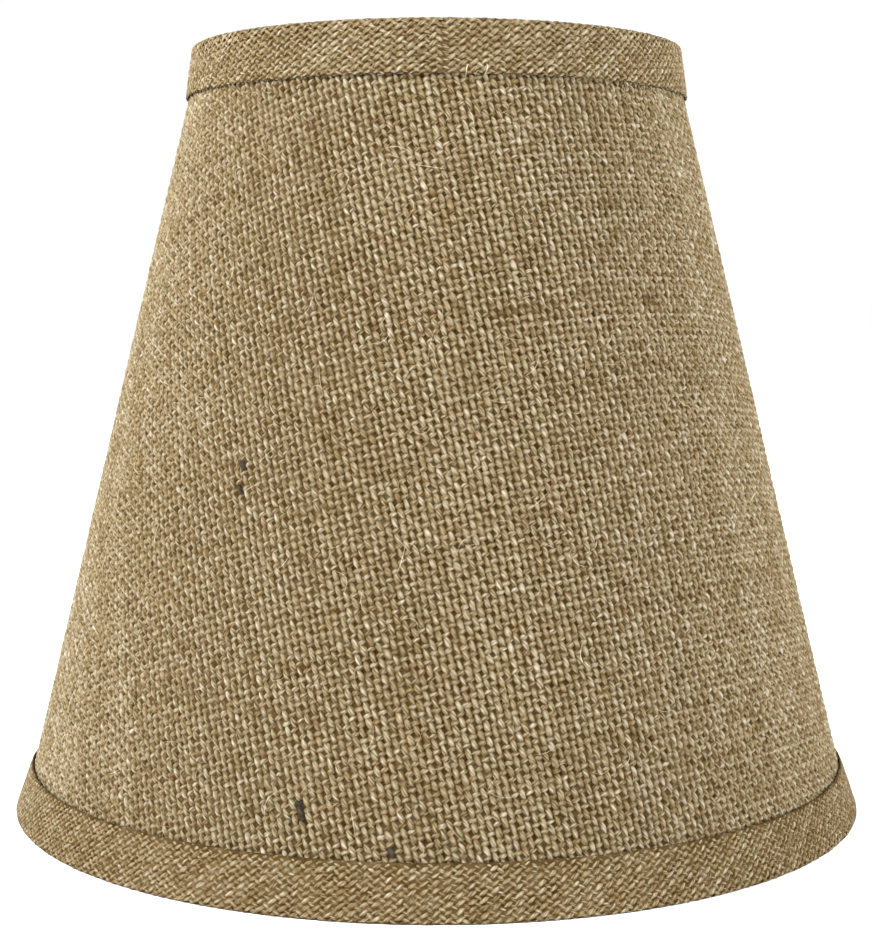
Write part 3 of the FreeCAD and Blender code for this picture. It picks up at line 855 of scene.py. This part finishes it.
# The bottom trim is painted a little darker as painted shade.
bottom_pieces = make_trim_weave("bottom_trim_weave", bottom_fold, 2, math.pi, -0.045)
top_pieces = make_trim_weave("top_trim_weave", top_fold, 1, math.radians(1.1), 0.0)
print(len(bottom_pieces) + len(top_pieces), "pieces of trim weave")

# %% [markdown]
# Burlap is hairy: fine fibre ends stand off the yarns all over it. One fibre is drawn out of a triangle
# by extruding it, and serves as the pattern for all of them.

# %% One fibre
FIBRE_STEPS = 6


def model_fibre():
    """A three-sided tube of unit length; gives its section, its places along it, and its faces."""
    bpy.ops.object.select_all(action="DESELECT")
    bpy.ops.mesh.primitive_circle_add(vertices=3, radius=1)
    fibre = bpy.context.object
    bpy.ops.object.mode_set(mode="EDIT")
    bpy.ops.mesh.select_all(action="SELECT")
    for _ in range(FIBRE_STEPS):
        bpy.ops.mesh.extrude_region_move(TRANSFORM_OT_translate={"value": (0, 0, 1 / FIBRE_STEPS)})
    bpy.ops.object.mode_set(mode="OBJECT")
    points = np.array([vertex.co for vertex in fibre.data.vertices])
    faces = np.array([list(face.vertices) for face in fibre.data.polygons])
    bpy.data.objects.remove(fibre)
    return points[:, :2], points[:, 2], faces


FIBRE_SECTION, FIBRE_ALONG, FIBRE_FACES = model_fibre()
print(len(FIBRE_FACES), "faces in a fibre")

# %% [markdown]
# Copies of the fibre are bent over the cloth. A few thicker ones are loose threads: a long one lies on
# the front of the cover, and three short ones stick out at the join of the top trim. Each thread has
# its two ends in the flat cut, its bend, its half thickness and its height. Lengths are in millimetres.

# %% Loose fibres
FIBRES = 900
FIBRE_MARGIN = 14 * MM
FIBRE_LENGTHS = (2.5, 8)
FIBRE_CURL = 0.25
FIBRE_HALF_THICKNESSES = (0.025, 0.05)
FIBRE_HEIGHTS = (0.1, 0.75)
FIBRE_POINTED = 0.6
LEAST_HEIGHT = 0.05 * MM
LOOSE_THREADS = (
    ((-60.3, -427.2), (-49.9, -439.9), 0.18, 0.065, 0.8),
    ((6.9, -275.6), (7.6, -272.4), 0.1, 0.09, 2.0),
    ((11.1, -275.4), (11.6, -271.8), -0.12, 0.08, 2.0),
    ((9.0, -276.0), (10.3, -274.0), 0.2, 0.07, 1.6),
)


def make_fibres():
    section, along = FIBRE_SECTION, FIBRE_ALONG
    slant = chance.uniform(slant_at(HEIGHT - FIBRE_MARGIN), slant_at(FIBRE_MARGIN), FIBRES)
    turn = chance.uniform(-0.99 * math.pi, 0.99 * math.pi, FIBRES) * math.sin(SLOPE)
    start = np.stack([slant * np.sin(turn), -slant * np.cos(turn)], axis=1)
    heading = chance.uniform(0, 2 * math.pi, FIBRES)
    reach = chance.uniform(*FIBRE_LENGTHS, FIBRES) * MM
    travel = np.stack([np.cos(heading), np.sin(heading)], axis=1) * reach[:, None]
    curl = chance.normal(0, FIBRE_CURL, FIBRES)
    thick = chance.uniform(*FIBRE_HALF_THICKNESSES, FIBRES) * MM
    rise = chance.uniform(*FIBRE_HEIGHTS, FIBRES) * MM
    for first, last, bend, half, height in LOOSE_THREADS:
        start = np.vstack([start, np.array(first) * MM])
        travel = np.vstack([travel, (np.array(last) - first) * MM])
        curl = np.append(curl, bend)
        thick = np.append(thick, half * MM)
        rise = np.append(rise, height * MM)
    sideways = np.stack([-travel[:, 1], travel[:, 0]], axis=1)
    unit = sideways / np.linalg.norm(sideways, axis=1)[:, None]
    arch = np.sin(math.pi * along)
    centre = (start[:, None] + travel[:, None] * along[:, None]
              + sideways[:, None] * (curl[:, None] * arch)[..., None])
    thin = thick[:, None] * (1 - FIBRE_POINTED * abs(2 * along - 1))
    centre = centre + unit[:, None] * (thin * section[:, 0])[..., None]
    lift = LEAST_HEIGHT + rise[:, None] * arch + thin * section[:, 1]
    points = roll(centre[..., 0], centre[..., 1], lift)
    faces = (np.arange(len(start))[:, None, None] * len(along) + FIBRE_FACES).reshape(-1, 4)
    mesh = smooth_quads("loose_fibres", points.reshape(-1, 3), faces)
    add_attribute(mesh, "shine", np.repeat(chance.uniform(0, 1, len(start)), len(along)))
    piece = bpy.data.objects.new("loose_fibres", mesh)
    bpy.context.collection.objects.link(piece)
    print(len(start), "fibres")
    return piece


fibres = make_fibres()
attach(fibres, "shade")

# %% [markdown]
# Single fibres are paler and glossier than a yarn, and no two have quite the same colour.

# %% Finish of the fibres
def fibre_material():
    material, graph, shader = new_material("jute_fibre", {"Roughness": 0.6, "Specular IOR Level": 0.4})
    shine = graph.node("ShaderNodeAttribute", {"attribute_name": "shine"}, output=2)
    colour = graph.node("ShaderNodeValToRGB", {"stops": [
        (0.0, (0.28, 0.19, 0.09)), (0.6, (0.55, 0.46, 0.32)), (1.0, (0.72, 0.65, 0.5))]}, {"Fac": shine})
    feed(shader, "Base Color", colour)
    return material


fibres.data.materials.append(fibre_material())
print("made", fibres.data.materials[0].name)

# %% [markdown]
# The liner is a sheet of white styrene: smooth, a little waxy, and never quite even. Broad clouds move
# its colour and gloss slightly, and a very fine relief breaks up the highlight. The tape that closes
# its seam is duller and more yellow.

# %% Plastic sheets
def clouds(graph, scale, detail=3.0, stretch=(1, 1, 1)):
    """Noise from 0 to 1 on the piece's own coordinates; scale is in features per metre."""
    place = graph.node("ShaderNodeTexCoord", output=3)
    drawn = graph.node("ShaderNodeMapping", None, {"Vector": place, "Scale": stretch})
    return graph.node("ShaderNodeTexNoise", None, {"Vector": drawn, "Scale": scale, "Detail": detail})


def plastic_material(name, dull, bright, roughness, grain):
    material, graph, shader = new_material(name, {"IOR": 1.55, "Specular IOR Level": 0.5})
    mottle = clouds(graph, 45.0)
    feed(shader, "Base Color", graph.node("ShaderNodeValToRGB", {"stops": [(0.3, dull), (0.7, bright)]},
                                          {"Fac": mottle}))
    feed(shader, "Roughness", mottle * 0.16 + roughness)
    feed(shader, "Normal", graph.node("ShaderNodeBump", None, {
        "Height": clouds(graph, grain, 2.0), "Strength": 0.35, "Distance": 0.05 * MM}))
    return material


styrene = plastic_material("white_styrene", (0.85, 0.838, 0.8), (0.885, 0.875, 0.845), 0.32, 2600.0)
tape = plastic_material("seam_tape", (0.62, 0.575, 0.46), (0.75, 0.71, 0.6), 0.45, 4200.0)
print("made", styrene.name, "and", tape.name)

# %% [markdown]
# The wires are drawn steel with a nickel plate, and the clip's two plates are stamped from strip. The
# plate is bright but clouded by handling, with a fine grain: even on the wires, drawn out along the
# strip on the plates. Colour, roughness and relief all follow the same noise.

# %% Plated steel
def metal_material(name, dark, bright, roughness, grain, stretch=(1, 1, 1)):
    material, graph, shader = new_material(name, {"Metallic": 1.0})
    smudge = clouds(graph, 240.0, 4.0)
    scratches = clouds(graph, grain, 3.0, stretch)
    feed(shader, "Base Color", graph.node("ShaderNodeValToRGB", {"stops": [(0.3, dark), (0.62, bright)]},
                                          {"Fac": smudge * 0.6 + scratches * 0.4}))
    feed(shader, "Roughness", smudge * 0.22 + scratches * 0.12 + roughness)
    feed(shader, "Normal", graph.node("ShaderNodeBump", None, {
        "Height": scratches, "Strength": 0.4, "Distance": 0.04 * MM}))
    return material


wire = metal_material("nickel_wire", (0.33, 0.315, 0.285), (0.6, 0.58, 0.54), 0.14, 2500.0)
strip = metal_material("stamped_strip", (0.3, 0.287, 0.262), (0.54, 0.522, 0.485), 0.2, 1800.0, (1, 0.06, 1))
rivet = metal_material("rivet_steel", (0.32, 0.3, 0.27), (0.64, 0.62, 0.58), 0.16, 3200.0)
spring = metal_material("spring_wire", (0.3, 0.29, 0.275), (0.55, 0.54, 0.52), 0.1, 3600.0)
FINISHES = {"styrene_liner": styrene, "seam_tape": tape, "top_ring": wire, "bottom_ring": wire,
            "fitter_bridge": wire, "clip_saddle": strip, "clip_keeper": strip, "clip_rivets": rivet,
            "clip_loop_front": spring, "clip_loop_back": spring}
for name, finish in FINISHES.items():
    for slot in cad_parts[name].material_slots:
        slot.material = finish
print(len(FINISHES), "packed pieces have their finish")

# %% [markdown]
# The floor is a plain white board with the faintest unevenness, so that the shade's contact shadow is
# all that it shows.

# %% Floor finish
def floor_material():
    material, graph, shader = new_material("white_board", {"Roughness": 0.9, "Specular IOR Level": 0.0})
    feed(shader, "Base Color", graph.node("ShaderNodeValToRGB", {"stops": [
        (0.3, (0.96, 0.96, 0.96)), (0.7, (0.99, 0.99, 0.99))]}, {"Fac": clouds(graph, 8.0)}))
    return material


floor.data.materials.append(floor_material())
print("the floor is", floor.data.materials[0].name)

# %% [markdown]
# The cover's area and flat size are worked out. It is a sector, so the flat size it is cut from is the
# smallest rectangle that holds the sector.

cover_area = 0.5 * (slant_at(WALL_LOW) ** 2 - slant_at(WALL_HIGH) ** 2) * 2 * math.pi * math.sin(SLOPE)
flat_angle = math.pi * math.sin(SLOPE)
cover_width = 2 * slant_at(WALL_LOW) * math.sin(flat_angle)
cover_length = slant_at(WALL_LOW) - slant_at(WALL_HIGH) * math.cos(flat_angle)
print(f"the cover is cut from {cover_width:.3f} by {cover_length:.3f} m")
